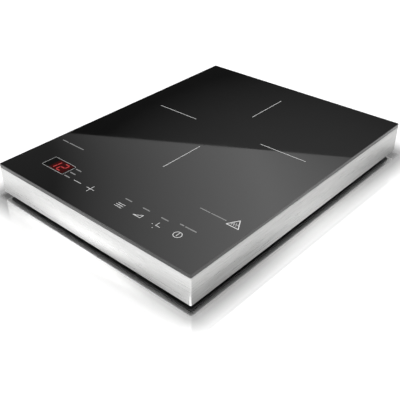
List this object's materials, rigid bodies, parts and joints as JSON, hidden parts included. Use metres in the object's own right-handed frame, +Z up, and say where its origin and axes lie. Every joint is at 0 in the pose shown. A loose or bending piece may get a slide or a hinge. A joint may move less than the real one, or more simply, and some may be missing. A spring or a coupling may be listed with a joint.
{
  "type": "electric induction cooktop",
  "caption": "Flat portable induction hob: black glass top on a brushed steel skirt, with a touch key row, display, flat coil, cooling fan and boards inside.",
  "frame": {"origin": "on the surface the hob stands on, under the middle of its outline", "axes": "+X to the right seen from the front, +Y to the rear away from the controls, +Z up"},
  "size_m": [0.29, 0.378, 0.043],
  "materials": {
    "black_glass": "polished opaque black glass-ceramic",
    "seal_silicone": "matt silicone adhesive",
    "skirt_steel": "long-grain brushed stainless steel",
    "base_plastic": "fine spark texture",
    "foot_rubber": "matt",
    "zinc_steel": "zinc plated",
    "black_screw": "black oxide",
    "inlet_plastic": "fine texture",
    "gland_rubber": "matt",
    "fan_plastic": "satin glass-filled",
    "bronze": "sintered bronze",
    "stator_steel": "laminated with lacquer",
    "magnet": "matt bonded ferrite",
    "polished_steel": "ground",
    "carrier_plastic": "natural high-temperature moulding",
    "copper_litz": "varnished stranded copper",
    "ferrite": "pressed",
    "mica": "bonded mica",
    "white_ceramic": "glazed",
    "bead_glass": "dipped",
    "spring_steel": "drawn wire",
    "board_green": "solder resist on glass-fibre board",
    "fin_aluminium": "extruded",
    "device_epoxy": "moulded epoxy",
    "film_yellow": "boxed film capacitor",
    "film_grey": "boxed film capacitor",
    "ring_green": "coated iron powder ring",
    "enamel_copper": "enamelled wire",
    "fuse_glass": "clear tube with metal ends",
    "tin_brass": "tinned",
    "varistor_blue": "epoxy dipped",
    "can_sleeve": "shrink sleeve",
    "tape_yellow": "taped winding",
    "connector_white": "moulded nylon",
    "display_black": "moulded",
    "digit_red": "lit segments",
    "led_red": "clear tinted",
    "wire_brown": "silicone insulation",
    "wire_earth": "green and yellow insulation",
    "sleeve_white": "glass-fibre sleeve",
    "ribbon_grey": "flat cable",
    "wire_black": "insulation"
  },
  "bodies": {
    "chassis": {"glass_plate": "black_glass", "glass_seal": "seal_silicone", "steel_frame": "skirt_steel", "base_shell": "base_plastic", "foot_front_left": "foot_rubber", "foot_front_right": "foot_rubber", "foot_rear_left": "foot_rubber", "foot_rear_right": "foot_rubber", "base_screws": "black_screw", "cord_inlet": "inlet_plastic", "cord_gland": "gland_rubber", "fan_frame": "fan_plastic", "fan_bearing": "bronze", "fan_stator": "stator_steel", "fan_screws": "zinc_steel", "coil_carrier": "carrier_plastic", "coil_winding": "copper_litz", "ferrite_bars": "ferrite", "mica_sheet": "mica", "coil_screws": "zinc_steel", "sensor_spring": "spring_steel", "power_board": "board_green", "heatsink": "fin_aluminium", "igbt": "device_epoxy", "bridge_rectifier": "device_epoxy", "device_screws": "zinc_steel", "link_capacitor": "film_yellow", "resonance_capacitor": "film_grey", "mains_filter_capacitor": "film_yellow", "choke_core": "ring_green", "choke_winding": "enamel_copper", "fuse": "fuse_glass", "fuse_clips": "tin_brass", "varistor": "varistor_blue", "electrolytic_capacitors": "can_sleeve", "supply_transformer": "tape_yellow", "buzzer": "device_epoxy", "board_headers": "connector_white", "board_chips": "device_epoxy", "coil_terminals": "tin_brass", "power_board_screws": "zinc_steel", "control_board": "board_green", "control_board_screws": "zinc_steel", "display_module": "display_black", "display_digits": "digit_red", "touch_springs": "spring_steel", "indicator_leds": "led_red", "terminal_block": "connector_white", "terminal_screws": "zinc_steel", "mains_wires": "wire_brown", "earth_wire": "wire_earth", "coil_leads": "sleeve_white", "ribbon_cable": "ribbon_grey", "fan_lead": "wire_black", "sensor_lead": "wire_black"},
    "rotor": {"fan_rotor": "fan_plastic", "rotor_magnet": "magnet", "fan_shaft": "polished_steel"},
    "sensor": {"sensor_cap": "white_ceramic", "sensor_bead": "bead_glass"}
  },
  "joints": [
    {"name": "fan_spin", "type": "hinge", "parent": "chassis", "child": "rotor", "pos_m": [-0.082, -0.114, 0.0137], "axis": [0, 0, 1], "continuous": true},
    {"name": "sensor_press", "type": "slide", "parent": "chassis", "child": "sensor", "axis": [0, 0, 1], "range_m": [-0.002, 0], "stiffness_N_per_m": 300, "springref_m": 0.003, "deforming": ["sensor_spring", "sensor_lead"]}
  ]
}
